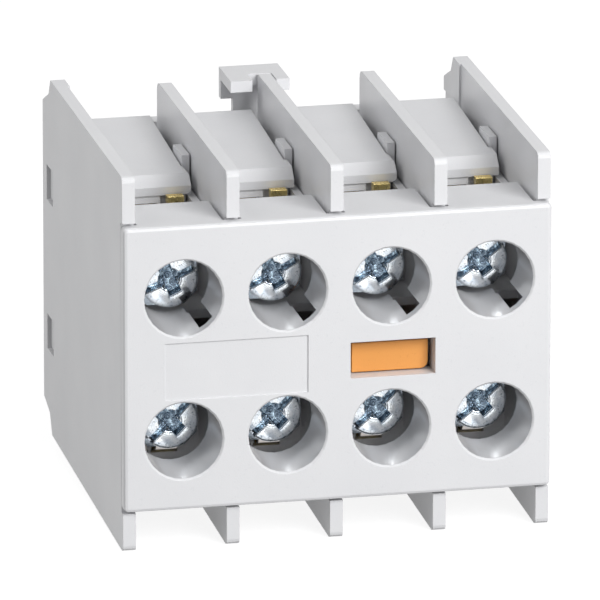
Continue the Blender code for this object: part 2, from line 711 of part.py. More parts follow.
def screw_blank():
    """Cheese head with a rounded edge, shank and pointed end. The head's face is at y = 0."""
    head, shank = SCREW_HEAD_D / 2, SCREW_D / 2
    end = SCREW_HEAD + SCREW_LENGTH
    profile = [
        (0, 0), (head * 0.80, 0.08 * SCREW_HEAD), (head, 0.40 * SCREW_HEAD), (head, SCREW_HEAD),
        (shank, SCREW_HEAD), (shank, end - shank / 2), (shank / 2, end), (0, end),
    ]
    return turned(profile, SCREW_FACETS, "screw")


def screw_angle(bay, row):
    """How far each slot is turned from level, as the screws were left."""
    return math.radians(23 + 4 * (bay - 1)) if row == UPPER else math.radians(45 - 1.5 * (bay - 1))


def screws(material, frame):
    screw = screw_blank()
    reach = SCREW_HEAD_D
    slot = box((-reach, reach), (-SLOT_DEPTH, SLOT_DEPTH), (-SLOT_W / 2, SLOT_W / 2))
    half_w, half_l = CROSS_W / 2, CROSS_LENGTH / 2
    cross = box((-half_w, half_w), (-CROSS_DEPTH, CROSS_DEPTH), (-half_l, half_l))
    cut(screw, [slot, cross])
    finish(screw, "screw", material)
    places = []
    for label, row in (("upper", UPPER), ("lower", LOWER)):
        for bay in range(1, POLES + 1):
            axis = Matrix.Translation((column(bay), SCREW_FACE, ROW_MID + row * ROW_RISE))
            places.append((f"{label}_{bay}", axis @ Matrix.Rotation(-screw_angle(bay, row), 4, "Y")))
    copies(screw, "screw", places, frame)


def terminal_places(bays=range(1, POLES + 1)):
    rows = (("upper", UPPER), ("lower", LOWER))
    return [(f"{label}_{bay}", at_terminal(bay, row)) for label, row in rows for bay in bays]


def washers(material, frame):
    """Square clamp washer, with two grooves across the side that presses on the wires."""
    half = WASHER_SIDE / 2
    back = WASHER_Y + WASHER
    grooves = [
        point for z in (GROOVE_OFFSET, -GROOVE_OFFSET)
        for point in ((back, z + GROOVE), (back - GROOVE, z), (back, z - GROOVE))
    ]
    outline = [(WASHER_Y, -half), (WASHER_Y, half), (back, half), *grooves, (back, -half)]
    washer = sweep(outline, "X", -half, half, "washer")
    corners = rounded_rectangle(-half, half, -half, half, WASHER_CORNER, 1)
    blank = sweep(corners, "Y", WASHER_Y - FIT, back + FIT)
    combine(washer, [blank], "INTERSECT")
    cut(washer, [cylinder(WASHER_HOLE_D / 2, WASHER_Y - FIT, back + FIT, HOLE_FACETS)])
    finish(washer, "washer", material)
    copies(washer, "washer", terminal_places(), frame)


def strip_plate():
    """The tapped plate behind the wire, with the tab that stands up beside the runner."""
    half = STRIP_W / 2
    shoulder = RUNNER_Z - STRIP / 2 - STRIP_BEND
    outline = [
        (-half, -STRIP_INNER), (half, -STRIP_INNER), (half, STRIP_OUTER), (TAB_RIGHT, STRIP_OUTER),
        (TAB_RIGHT, TAB_TOP), (TAB_LEFT, TAB_TOP), (TAB_LEFT, shoulder), (-half, shoulder),
    ]
    return sweep(outline, "Y", STRIP_Y, STRIP_Y + STRIP, "strip")


def strip_leg(leg_y):
    """The end of the strip that carries the contact tip."""
    tip = TIP_RISE - ROW_RISE
    low, high = tip - LEG_TAIL, tip + LEG_TAIL
    outline = [
        (-LEG_HALF, low), (LEG_HALF, low), (LEG_HALF, high),
        (RUNNER_RIGHT, high + LEG_HALF), (RUNNER_LEFT, high + LEG_HALF), (RUNNER_LEFT, tip),
    ]
    return sweep(outline, "Y", leg_y, leg_y + STRIP)


def strip_runner(leg_y):
    """The narrow band that runs back under the roof, from the plate to the leg."""
    middle = STRIP_Y + STRIP / 2
    end = leg_y + STRIP / 2
    path = [(middle, 0), (middle, RUNNER_Z), (end, RUNNER_Z), (end, TIP_RISE - ROW_RISE + LEG_TAIL)]
    return sweep(folded(path, STRIP, STRIP_BEND), "X", RUNNER_LEFT, RUNNER_RIGHT)


def strip(leg_y, tip_side):
    """A fixed contact: its tip looks forwards on a pole that closes, and backwards on one that opens."""
    body = strip_plate()
    face = leg_y if tip_side < 0 else leg_y + STRIP
    ends = sorted((face - tip_side * OVERLAP, face + tip_side * TIP))
    tip = moved(cylinder(TIP_D / 2, *ends, TIP_FACETS), Matrix.Translation((0, 0, TIP_RISE - ROW_RISE)))
    fuse(body, [strip_runner(leg_y), strip_leg(leg_y), tip])
    return cut(body, [cylinder(SCREW_HOLE_D / 2, STRIP_Y - FIT, STRIP_Y + STRIP + FIT, HOLE_FACETS)])


def strips(material, frame):
    opening = [bay for bay in range(1, POLES + 1) if bay not in CLOSING_POLES]
    for bays, leg_y, tip_side in ((CLOSING_POLES, CLOSING_LEG_Y, -1), (opening, OPENING_LEG_Y, 1)):
        piece = finish(strip(leg_y, tip_side), "strip", material)
        copies(piece, "strip", terminal_places(bays), frame)


def bridge():
    """A moving contact: a bar with a tip at each end, and a boss for its spring on the other side."""
    half, nip = BRIDGE_HALF_L, BRIDGE_HALF_W / 3
    outline = [
        (-BRIDGE_HALF_W + nip, -half), (BRIDGE_HALF_W - nip, -half), (BRIDGE_HALF_W, -half + nip),
        (BRIDGE_HALF_W, half - nip), (BRIDGE_HALF_W - nip, half), (-BRIDGE_HALF_W + nip, half),
        (-BRIDGE_HALF_W, half - nip), (-BRIDGE_HALF_W, -half + nip),
    ]
    bar = sweep(outline, "Y", 0, BRIDGE, "bridge")
    ends = (BRIDGE - OVERLAP, BRIDGE + TIP)
    tips = [
        moved(cylinder(TIP_D / 2, *ends, TIP_FACETS), Matrix.Translation((0, 0, z)))
        for z in (TIP_RISE, -TIP_RISE)
    ]
    return fuse(bar, [*tips, cylinder(BRIDGE_BOSS_D / 2, -BRIDGE_BOSS, OVERLAP, TIP_FACETS)])


def bridge_place(bay):
    """A closing bridge moves back onto its tips. An opening one is turned round, and waits behind them."""
    if bay in CLOSING_POLES:
        return Matrix.Translation((column(bay), CLOSING_BRIDGE_Y, ROW_MID))
    turned_round = Matrix.Rotation(math.pi, 4, "Z")
    return Matrix.Translation((column(bay), OPENING_BRIDGE_Y + BRIDGE, ROW_MID)) @ turned_round


def bridges(material, frame):
    piece = finish(bridge(), "bridge", material)
    places = [(str(bay), bridge_place(bay)) for bay in range(1, POLES + 1)]
    return copies(piece, "bridge", places, frame)


def coil(diameter, wire, length, turns, name):
    """A compression spring along y from 0 to length, with one dead turn at each end."""
    radius = (diameter - wire) / 2
    dead = 1.15 * wire
    rise = (length - wire - 2 * dead) / (turns - 2)
    shape = bmesh.new()
    rings = []
    for step in range(turns * SPRING_FACETS + 1):
        turn = step / SPRING_FACETS
        angle = TURN * turn
        live = min(max(turn - 1, 0), turns - 2)
        y = wire / 2 + (turn - live) * dead + live * rise
        ring = []
        for side in range(WIRE_FACETS):
            around = TURN * side / WIRE_FACETS
            reach = radius + wire / 2 * math.cos(around)
            height = y + wire / 2 * math.sin(around)
            ring.append(shape.verts.new((reach * math.cos(angle), height, reach * math.sin(angle))))
        rings.append(ring)
    for before, after in zip(rings, rings[1:]):
        for side in range(WIRE_FACETS):
            nearby = (side + 1) % WIRE_FACETS
            shape.faces.new((before[side], before[nearby], after[nearby], after[side]))
    shape.faces.new(rings[0])
    shape.faces.new(reversed(rings[-1]))
    return to_object(shape, name)


def contact_springs(material, frame):
    """Each stands between its bridge and a seat in the carrier, and is pressed where the pole is closed."""
    for closing in (True, False):
        length = CONTACT_SPRING_LENGTH if closing else PRESSED_SPRING_LENGTH
        start = CLOSING_SEAT_Y + CAGE_END if closing else OPENING_BRIDGE_Y + BRIDGE
        piece = coil(CONTACT_SPRING_D, CONTACT_SPRING_WIRE, length, CONTACT_SPRING_TURNS, "spring")
        finish(piece, "spring", material, 60)
        bays = [bay for bay in range(1, POLES + 1) if (bay in CLOSING_POLES) == closing]
        places = [(str(bay), Matrix.Translation((column(bay), start + TOUCH, ROW_MID))) for bay in bays]
        copies(piece, "contact_spring", places, frame)


def return_spring_x():
    """The return springs stand behind the beam, in the two middle bays."""
    return column(POLES // 2), column(POLES // 2 + 1)


def return_springs(material, frame):
    piece = coil(RETURN_SPRING_D, RETURN_SPRING_WIRE, RETURN_SPRING_LENGTH, RETURN_SPRING_TURNS, "spring")
    finish(piece, "spring", material, 60)
    sides = zip(("left", "right"), return_spring_x())
    places = [(side, Matrix.Translation((x, BEAM_END + TOUCH, ROW_MID))) for side, x in sides]
    copies(piece, "return_spring", places, frame)


def cage(bay):
    """The frame round one bridge: two rails, a stop and a seat for the spring."""
    closing = bay in CLOSING_POLES
    inner = BRIDGE_HALF_W + SLIDE
    outer = inner + CAGE_WALL
    heights = (ROW_MID - CAGE_HALF, ROW_MID + CAGE_HALF)
    stop_front = OPENING_BRIDGE_Y - OVERTRAVEL - CAGE_END
    front = CLOSING_SEAT_Y if closing else stop_front
    middle = column(bay)
    rails = [
        box(sorted((middle + side * inner, middle + side * outer)), (front, BEAM_Y + OVERLAP), heights)
        for side in (-1, 1)
    ]
    across = (middle - inner - OVERLAP, middle + inner + OVERLAP)
    walls = [box(across, (front, front + CAGE_END), heights)]
    if closing:
        stop = CLOSING_BRIDGE_Y + BRIDGE + TOUCH
        walls.append(box(across, (stop, BEAM_Y + OVERLAP), heights))
    return rails + walls


def flag():
    """The face that shows in the window, with its stem back to the cage of the third pole."""
    half_w, half_h = FLAG_WINDOW_W / 2, FLAG_WINDOW_H / 2
    left, right = FLAG_X - half_w + FLAG_GAP_LEFT, FLAG_X + half_w - FLAG_GAP_RIGHT
    low, high = FLAG_Z - half_h + FLAG_GAP_BOTTOM, FLAG_Z + half_h - FLAG_GAP_TOP
    corner = arc((right - FLAG_CORNER, low + FLAG_CORNER), FLAG_CORNER, 270, 360, 3)
    back = FLAG_FACE + FLAG_THICKNESS
    face = sweep([(left, low), *corner, (right, high), (left, high)], "Y", FLAG_FACE, back)
    middle = column(POLES // 2 + 1)
    stem_end = OPENING_BRIDGE_Y - OVERTRAVEL - CAGE_END + OVERLAP
    heights = (ROW_MID - STEM_HALF, ROW_MID + STEM_HALF)
    stem = box((middle - STEM_HALF, middle + STEM_HALF), (back - OVERLAP, stem_end), heights)
    return [face, stem]


def drive_hook():
    """The hook at the back that the contactor's own carrier pulls."""
    heights = (ROW_MID - HOOK_HALF, ROW_MID + HOOK_HALF)
    shank = box((-HOOK_W / 2, HOOK_W / 2), (BEAM_END - OVERLAP, HOOK_END_Y), heights)
    bar = box((-HOOK_BAR_W / 2, HOOK_BAR_W / 2), (HOOK_END_Y - HOOK_BAR, HOOK_END_Y), heights)
    return [shank, bar]


def spring_pegs(start, end):
    """Pegs that keep the return springs in their places."""
    return [
        moved(cylinder(PEG_D / 2, start, end, TIP_FACETS), Matrix.Translation((x, 0, ROW_MID)))
        for x in return_spring_x()
    ]


def contact_carrier(material, frame):
    """One moulding that slides back when the contactor pulls in. Its origin is on the slide's axis."""
    reach = BRIDGE_HALF_W + SLIDE + CAGE_WALL
    across = (column(1) - reach, column(POLES) + reach)
    beam = box(across, (BEAM_Y, BEAM_END), (ROW_MID - BEAM_HALF, ROW_MID + BEAM_HALF), "contact_carrier")
    cages = [piece for bay in range(1, POLES + 1) for piece in cage(bay)]
    pegs = spring_pegs(BEAM_END - OVERLAP, BEAM_END + PEG)
    fuse(beam, [*cages, *flag(), *drive_hook(), *pegs])
    finish(beam, "contact_carrier", material)
    set_origin(beam, (0, BEAM_Y, ROW_MID))
    beam.parent = frame


def base_tongue(bay):
    """A tongue that lies under the end of a roof, between two barriers."""
    left, right = bay_left(bay) + FIT, bay_right(bay) - FIT
    heights = (ROW_MID + TONGUE_TOP - TONGUE, ROW_MID + TONGUE_TOP)
    return box((left, right), (TONGUE_FRONT, BASE_FRONT + OVERLAP), heights)


def snap_tabs():
    """Tabs on the base's edges that spring into the windows of the side walls."""
    inner, outer = WIDTH / 2 - WALL - SEAM - OVERLAP, WIDTH / 2 - TAB_GAP
    nip = (outer - inner) / 2
    front, back = BASE_FRONT, BASE_BACK
    tabs = []
    for middle in (WINDOW_UPPER, WINDOW_LOWER):
        low, high = middle - WINDOW_HEIGHT / 2 + TAB_GAP, middle + WINDOW_HEIGHT / 2 - TAB_GAP
        for side in (-1, 1):
            outline = [
                (side * inner, front), (side * (outer - nip), front), (side * outer, front + nip),
                (side * outer, back), (side * inner, back),
            ]
            tabs.append(sweep(outline, "Z", low, high))
    return tabs


def latch_head():
    """The T-shaped end of the latch: a top plate whose two ears reach forwards beside a barrier."""
    left, right = LATCH_X - LATCH_W / 2, LATCH_X + LATCH_W / 2
    back = BASE_BACK
    barrier_left = bay_right(POLES // 2)
    notch = (barrier_left - LATCH_NOTCH_LEFT, barrier_left + WALL + SEAM)
    outline = [
        (left, back), (left, LATCH_FRONT), (notch[0], LATCH_FRONT), (notch[0], LATCH_NOTCH_Y),
        (notch[1], LATCH_NOTCH_Y), (notch[1], LATCH_FRONT), (right, LATCH_FRONT), (right, back),
    ]
    top = sweep(outline, "Z", BARRIER_TOP - LATCH_LIP, BARRIER_TOP)
    heights = (BARRIER_TOP - LATCH_REAR_WALL, BARRIER_TOP - OVERLAP)
    wall = box((left, right), (back - LATCH_ARM, back), heights)
    return [top, wall]


def latch_arm():
    """The springy arm that carries the head, and the catch behind it."""
    back = BASE_BACK
    half = LATCH_ARM_W / 2
    arm = box(
        (LATCH_X - half, LATCH_X + half), (back - LATCH_ARM, back),
        (ROW_MID + BASE_RISE - LATCH_SLOT_LENGTH, BARRIER_TOP - LATCH_REAR_WALL + OVERLAP),
    )
    foot = ROW_MID + CATCH_RISE
    outline = [(back - OVERLAP, foot - CATCH), (back + CATCH, foot), (back + CATCH, foot + CATCH / 2),
               (back - OVERLAP, foot + CATCH / 2)]
    return [arm, sweep(outline, "X", LATCH_X - half, LATCH_X + half)]


def latch_slots():
    """Slots on both sides of the arm, and the thinner plate between them, so that it can bend."""
    top = ROW_MID + BASE_RISE
    low = top - LATCH_SLOT_LENGTH
    half = LATCH_ARM_W / 2
    ends, heights = (BASE_FRONT - OVERLAP, BASE_BACK + OVERLAP), (low, top + OVERLAP)
    slots = [
        box(sorted((LATCH_X + side * half, LATCH_X + side * (half + LATCH_SLOT))), ends, heights)
        for side in (-1, 1)
    ]
    relief = box(
        (LATCH_X - half - OVERLAP, LATCH_X + half + OVERLAP),
        (BASE_FRONT - OVERLAP, BASE_BACK - LATCH_ARM), heights,
    )
    return [*slots, relief]


def claw(x):
    """A hook at the lower edge that enters the contactor's front first."""
    back = BASE_BACK
    low = ROW_MID - BASE_RISE
    inner, end = back + CLAW_LENGTH - CLAW, back + CLAW_LENGTH
    high = low + CLAW_LIP + CLAW
    outline = [
        (back - OVERLAP, high), (back - OVERLAP, low + CLAW_LIP), (inner, low + CLAW_LIP), (inner, low),
        (end - CLAW / 2, low), (end, low + CLAW / 2), (end, high),
    ]
    return sweep(outline, "X", x - CLAW_W / 2, x + CLAW_W / 2)


def drive_window():
    half_w, half_h = HOOK_BAR_W / 2 + FIT, HOOK_HALF + FIT
    ends = (BASE_FRONT - OVERLAP, BASE_BACK + OVERLAP)
    return box((-half_w, half_w), ends, (ROW_MID - half_h, ROW_MID + half_h))


def rear_base(material, frame):
    """The plate that closes the back, with the latch at its top and two claws at its foot."""
    half = WIDTH / 2 - WALL - SEAM
    heights = (ROW_MID - BASE_RISE, ROW_MID + BASE_RISE)
    base = box((-half, half), (BASE_FRONT, BASE_BACK), heights, "rear_base")
    tongues = [piece for bay in range(1, POLES + 1) for piece in doubled(base_tongue(bay))]
    pegs = spring_pegs(BASE_FRONT - PEG, BASE_FRONT + OVERLAP)
    fuse(base, [*tongues, *snap_tabs(), *pegs, claw(-CLAW_X), claw(CLAW_X)])
    cut(base, [*latch_slots(), drive_window()])
    fuse(base, [*latch_arm(), *latch_head()])
    finish(base, "rear_base", material)
    base.parent = frame


def build():
    clear_scene()
    frame = bpy.data.objects.new("block_frame", None)
    frame.location = (0, -DEPTH / 2, 0)
    bpy.context.scene.collection.objects.link(frame)
    housing = make_material("light_grey_moulding", (0.78, 0.78, 0.80), 0.45)
    orange = make_material("orange_moulding", (0.91, 0.40, 0.07), 0.50)
    brass = make_material("brass", (0.80, 0.58, 0.22), 0.30, 1.0)
    zinc = make_material("zinc_plated_steel", (0.62, 0.66, 0.70), 0.28, 1.0)
    spring = make_material("spring_steel", (0.50, 0.50, 0.51), 0.35, 1.0)
    front_cover(housing, frame)
    main_housing(housing, frame)
    rear_base(housing, frame)
    contact_carrier(orange, frame)
    strips(brass, frame)
    bridges(brass, frame)
    washers(zinc, frame)
    screws(zinc, frame)
    contact_springs(spring, frame)
    return_springs(spring, frame)


build()
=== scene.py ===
# %% [markdown]
# # An auxiliary contact block in a white studio
#
# This lesson dresses a small electrical part: a light grey moulded block with screw terminals and an
# orange position flag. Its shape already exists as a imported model, the frame. We load that frame, give
# every piece a finish, and replace the pieces that need finer meshes than the frame has.

# %% Load the frame
import json
import math

import bmesh
import bpy
from mathutils import Matrix, Vector

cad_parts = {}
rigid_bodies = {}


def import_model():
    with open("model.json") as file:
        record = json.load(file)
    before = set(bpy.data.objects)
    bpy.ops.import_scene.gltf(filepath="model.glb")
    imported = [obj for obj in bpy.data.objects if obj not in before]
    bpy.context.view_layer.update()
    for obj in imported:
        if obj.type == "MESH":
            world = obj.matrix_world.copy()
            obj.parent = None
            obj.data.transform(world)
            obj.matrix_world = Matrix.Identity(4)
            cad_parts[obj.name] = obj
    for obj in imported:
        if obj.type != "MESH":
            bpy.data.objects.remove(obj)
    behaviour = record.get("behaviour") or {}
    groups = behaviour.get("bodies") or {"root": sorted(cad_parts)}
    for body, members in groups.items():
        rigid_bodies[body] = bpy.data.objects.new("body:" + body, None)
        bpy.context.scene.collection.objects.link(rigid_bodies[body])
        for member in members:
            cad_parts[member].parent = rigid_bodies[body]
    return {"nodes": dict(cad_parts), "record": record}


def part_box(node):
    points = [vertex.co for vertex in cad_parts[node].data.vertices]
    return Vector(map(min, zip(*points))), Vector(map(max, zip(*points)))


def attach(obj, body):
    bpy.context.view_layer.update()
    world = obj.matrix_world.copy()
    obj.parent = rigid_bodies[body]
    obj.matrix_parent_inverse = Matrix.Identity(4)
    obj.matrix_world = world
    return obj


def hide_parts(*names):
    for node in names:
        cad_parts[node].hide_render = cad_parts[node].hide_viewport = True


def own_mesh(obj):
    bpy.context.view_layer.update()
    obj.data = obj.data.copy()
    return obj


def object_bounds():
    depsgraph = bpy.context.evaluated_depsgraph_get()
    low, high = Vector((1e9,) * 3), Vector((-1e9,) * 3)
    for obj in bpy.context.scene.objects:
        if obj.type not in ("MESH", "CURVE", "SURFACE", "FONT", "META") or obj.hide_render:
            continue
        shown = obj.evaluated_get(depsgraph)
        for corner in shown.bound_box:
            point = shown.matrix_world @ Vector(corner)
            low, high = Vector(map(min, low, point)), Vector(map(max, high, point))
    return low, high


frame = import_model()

MM = 0.001
TURN = 2 * math.pi
nodes = frame["nodes"]
cad_low, cad_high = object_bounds()
print("the frame is", [round(side / MM, 2) for side in cad_high - cad_low], "mm")

# %% [markdown]
# ## The camera
#
# The photograph was taken from the left and from a little above, through a long lens, so its edges run
# almost parallel. A long lens far away gives that look. The view direction comes from two angles, and the
# camera looks at the point of the front face that lies in the middle of the picture.

# %% Camera at the photograph's angle
AZIMUTH = math.radians(-12.45)
ELEVATION = math.radians(16.88)
ROLL = math.radians(0.08)
DISTANCE = 1.15
SENSOR_WIDTH = 36.0
LENS = 688.0
AIM = Vector((-3.97 * MM, cad_low.y, 25.62 * MM))


def add_camera():
    camera = bpy.data.objects.new("studio_camera", bpy.data.cameras.new("studio_camera"))
    bpy.context.scene.collection.objects.link(camera)
    back = Vector((
        math.sin(AZIMUTH) * math.cos(ELEVATION),
        -math.cos(AZIMUTH) * math.cos(ELEVATION),
        math.sin(ELEVATION),
    ))
    camera.location = AIM + back * DISTANCE
    turn = (-back).to_track_quat("-Z", "Y").to_matrix() @ Matrix.Rotation(ROLL, 3, "Z")
    camera.rotation_euler = turn.to_euler()
    camera.data.sensor_width = SENSOR_WIDTH
    camera.data.lens = LENS
    camera.data.clip_start = 0.1
    camera.data.clip_end = 10.0
    bpy.context.scene.camera = camera
    return camera


camera = add_camera()
print("the camera stands", round(camera.location.length, 2), "m away")

# %% [markdown]
# ## One small class for shader maths
#
# Node trees soon fill a file with lines that make a node and link it. This class wraps an output socket,
# so that `mask * 0.5 + 0.2` adds the Math nodes by itself, and `1 - mask` works too. Every other kind of
# node comes from its one method `node`, which sets the node's settings first, because some of them change
# which sockets it has.

# %% The socket class
def shown_socket(sockets, name):
    """A socket by its number, or by its name among those that the node's settings leave in use."""
    if isinstance(name, int):
        return sockets[name]
    return next(socket for socket in sockets if socket.name == name and socket.enabled)


class Wire:
    """An output socket of a node tree, or the tree alone, as a start."""

    def __init__(self, tree, socket=None):
        self.tree = tree
        self.socket = socket

    def node(self, kind, settings=None, inputs=None, output=0):
        made = self.tree.nodes.new(kind)
        for name, value in (settings or {}).items():
            setattr(made, name, value)
        for name, value in (inputs or {}).items():
            target = shown_socket(made.inputs, name)
            if isinstance(value, Wire):
                self.tree.links.new(value.socket, target)
            else:
                target.default_value = value
        return Wire(self.tree, shown_socket(made.outputs, output))

    def math(self, operation, first, second=0.0):
        return self.node("ShaderNodeMath", {"operation": operation}, {0: first, 1: second})

    def __add__(self, other):
        return self.math("ADD", self, other)

    __radd__ = __add__

    def __sub__(self, other):
        return self.math("SUBTRACT", self, other)

    def __rsub__(self, other):
        return self.math("SUBTRACT", other, self)

    def __mul__(self, other):
        return self.math("MULTIPLY", self, other)

    __rmul__ = __mul__


def mixed(factor, first, second):
    """A colour between two colours."""
    inputs = {"Factor": factor, "A": first, "B": second}
    return factor.node("ShaderNodeMix", {"data_type": "RGBA"}, inputs, output="Result")


def step(wire, low, high):
    """0 below one value, 1 above another, and a straight ramp between them."""
    return wire.node("ShaderNodeMapRange", None, {"Value": wire, "From Min": low, "From Max": high})


def feed(shader, name, value):
    """Sets a socket of the shader, or links a wire to it."""
    if isinstance(value, Wire):
        value.tree.links.new(value.socket, shader.inputs[name])
    else:
        shader.inputs[name].default_value = value


def start_material(name):
    """A new material, its shader, and the coordinates of the piece as the start of expressions."""
    material = bpy.data.materials.new(name)
    material.use_nodes = True
    tree = material.node_tree
    shader = tree.nodes["Principled BSDF"]
    place = Wire(tree).node("ShaderNodeTexCoord", output="Object")
    return material, shader, place


print("an expression such as 1 - mask * 0.5 now adds its own nodes")

# %% [markdown]
# ## Grain
#
# Almost every finish here needs noise at a known size. Blender's Noise Texture takes a scale, which is the
# number of features in one metre on these small pieces. Asking for the feature's size in millimetres is
# easier to read, so a helper turns one into the other.

# %% Noise of a given size
def noise(place, size_mm, detail=2.0, roughness=0.5):
    """Noise from 0 to 1 whose features are about this large."""
    inputs = {"Vector": place, "Scale": 1 / (size_mm * MM), "Detail": detail, "Roughness": roughness}
    return place.node("ShaderNodeTexNoise", {"noise_dimensions": "3D"}, inputs)


def stretched(place, scale):
    """The coordinates scaled along each axis, for grain that runs one way."""
    return place.node("ShaderNodeVectorMath", {"operation": "MULTIPLY"}, {0: place, 1: scale})


def rounded(wire, edge_mm):
    """A normal that turns softly over the sharp edges, as the mould or the press leaves them."""
    return wire.node("ShaderNodeBevel", {"samples": 6}, {"Radius": edge_mm * MM})


def bumped(height, depth_mm, normal=None):
    """A normal from a height, on top of another normal where there is one."""
    inputs = {"Height": height, "Distance": depth_mm * MM, "Strength": 1.0}
    if normal:
        inputs["Normal"] = normal
    return height.node("ShaderNodeBump", None, inputs)


print("grain of 0.1 mm is noise of scale", round(1 / (0.1 * MM)))

# %% [markdown]
# ## Eight terminals, one expression
#
# The eight wells stand in two rows of four. A mask for one of them should serve all, so this helper folds
# space: it wraps the sideways coordinate at the pitch of the columns, and takes the height from the nearer
# row. What comes out is the place relative to the nearest axis, to the side and up.

# %% Fold space round the terminals
MIDDLE_HEIGHT = 19.02 * MM
FIRST_COLUMN = -15.881 * MM
COLUMN_PITCH = 10.6675 * MM
ROW_RISE = 7.465 * MM


def parts_of(place):
    """The three coordinates as wires of their own."""
    split = place.node("ShaderNodeSeparateXYZ", None, {0: place}).socket.node
    return [Wire(place.tree, output) for output in split.outputs]


def from_axis(place, row_rise):
    """Offsets from the nearest axis, to the side and up, where the rows stand this far from the middle."""
    x, _, z = parts_of(place)
    wrapped = {0: x - FIRST_COLUMN, 1: COLUMN_PITCH / 2, 2: -COLUMN_PITCH / 2}
    across = place.node("ShaderNodeMath", {"operation": "WRAP"}, wrapped)
    rise = z - MIDDLE_HEIGHT
    return across, rise - place.math("SIGN", rise) * row_rise


def length_of(across, along):
    """The distance that two offsets at right angles make."""
    return across.math("SQRT", across * across + along * along)


print("the rows stand", 2 * ROW_RISE / MM, "mm apart")

# %% [markdown]
# ## Light grey moulding
#
# The cover, the housing and the base are moulded from a filled engineering plastic. It is light grey, a
# little cooler than neutral, and its mould was spark-eroded, so the surface has a very fine grain that
# breaks up reflections. A flat grey would look like paper. Three scales of noise help: a slow one for
# the flow of the plastic, which changes colour and gloss by a few hundredths, a middle one for specks of
# filler, and a fine one for the grain, which feeds the bump. The edges get a small radius from the Bevel
# node, because no mould makes a sharp edge. Where a mould is polished, the plastic is glossier and smoother.

# %% Plastic of the mouldings
GREY = (0.725, 0.727, 0.740, 1.0)
GREY_DEEP = (0.672, 0.676, 0.694, 1.0)
GREY_SPECK = (0.55, 0.56, 0.59, 1.0)
FLOW_MM, SPECK_MM, GRAIN_MM = 7.0, 0.35, 0.16
SPECK_RANGE = (0.62, 0.72)
SPECK_SHARE = 0.22
FLOW_ROUGHNESS, GRAIN_ROUGHNESS = 0.08, 0.10
FLOW_HEIGHT = 0.6
GRAIN_DEPTH_MM = 0.012
POLISH_GLOSS, POLISH_SMOOTHNESS = 0.60, 0.85
PLASTIC_SPECULAR = 0.3


def moulded_plastic(name, light, deep, speck, roughness=0.36, edge_mm=0.08, polish=None):
    """A moulding. The last argument can find its polished places and give them a normal of their own."""
    material, shader, place = start_material(name)
    flow = noise(place, FLOW_MM, detail=3.0)
    specks = step(noise(place, SPECK_MM, roughness=0.7), *SPECK_RANGE)
    grain = noise(place, GRAIN_MM, detail=4.0, roughness=0.6)
    feed(shader, "Base Color", mixed(specks * SPECK_SHARE, mixed(flow, light, deep), speck))
    least = roughness - (FLOW_ROUGHNESS + GRAIN_ROUGHNESS) / 2
    rough = flow * FLOW_ROUGHNESS + grain * GRAIN_ROUGHNESS + least
    height = grain + flow * FLOW_HEIGHT
    normal = rounded(place, edge_mm)
    if polish:
        polished, normal = polish(place, normal)
        rough = rough * (1 - polished * POLISH_GLOSS)
        height = height * (1 - polished * POLISH_SMOOTHNESS)
    feed(shader, "Roughness", rough)
    feed(shader, "Normal", bumped(height, GRAIN_DEPTH_MM, normal))
    feed(shader, "Specular IOR Level", PLASTIC_SPECULAR)
    return material


grey_plastic = moulded_plastic("light_grey_plastic", GREY, GREY_DEEP, GREY_SPECK)
print("made", grey_plastic.name)

# %% [markdown]
# ## Round wells
#
# The frame makes each screw well with 28 flat facets, which a glossy highlight would show. The true wall is
# a slightly tapered round one, so its normal is known everywhere: it points at the axis. A mask finds the
# wall by its distance from the axis, and there that normal takes the place of the facet's own. The pins that
# mould the wells are polished, so the same mask makes the walls glossy, and they mirror the screw heads.

# %% Plastic of the cover
WELL_RADIUS = 4.00 * MM
WELL_TAPER = 0.0195
WALL_START, WALL_FULL = 0.20 * MM, 0.24 * MM
NEAR_WALL, OFF_WALL = 0.06 * MM, 0.09 * MM
COVER_ROUGHNESS = 0.32


def well_walls(place, normal):
    """A mask of the round walls, and a normal that is the true round wall's own where the mask is 1."""
    across, rise = from_axis(place, ROW_RISE)
    depth = parts_of(place)[1] - cad_low.y
    from_wall = place.math("ABSOLUTE", length_of(across, rise) + depth * WELL_TAPER - WELL_RADIUS)
    on_wall = (1 - step(from_wall, NEAR_WALL, OFF_WALL)) * step(depth, WALL_START, WALL_FULL)
    to_axis = place.node("ShaderNodeCombineXYZ", None, {"X": across * -1, "Z": rise * -1})
    inward = place.node("ShaderNodeVectorMath", {"operation": "NORMALIZE"}, {0: to_axis})
    inputs = {"Factor": on_wall, "A": normal, "B": inward}
    return on_wall, place.node("ShaderNodeMix", {"data_type": "VECTOR"}, inputs, output="Result")


cover_plastic = moulded_plastic(
    "cover_plastic", GREY, GREY_DEEP, GREY_SPECK, COVER_ROUGHNESS, polish=well_walls
)
print("made", cover_plastic.name)

# %% [markdown]
# ## Orange moulding
#
# The contact carrier is one orange moulding, and only its flag shows in the window. It takes the same
# recipe with other colours: the pigment is denser, so its specks are darker and its gloss a little lower.

# %% Plastic of the carrier
ORANGE = (0.78, 0.355, 0.100, 1.0)
ORANGE_DEEP = (0.71, 0.300, 0.072, 1.0)
ORANGE_SPECK = (0.52, 0.190, 0.043, 1.0)
orange_plastic = moulded_plastic(
    "orange_plastic", ORANGE, ORANGE_DEEP, ORANGE_SPECK, roughness=0.42, edge_mm=0.15
)
print("made", orange_plastic.name)

# %% [markdown]
# ## Metals
#
# Plating and wire share one recipe, with the metallic value at 1. A soft bloom of about a millimetre makes
# places duller, as handling and storage do, and a fine grain breaks up the mirror. What tells the metals
# apart is the colour and the roughness. Springs are wound from round wire, so they have no edges to round.

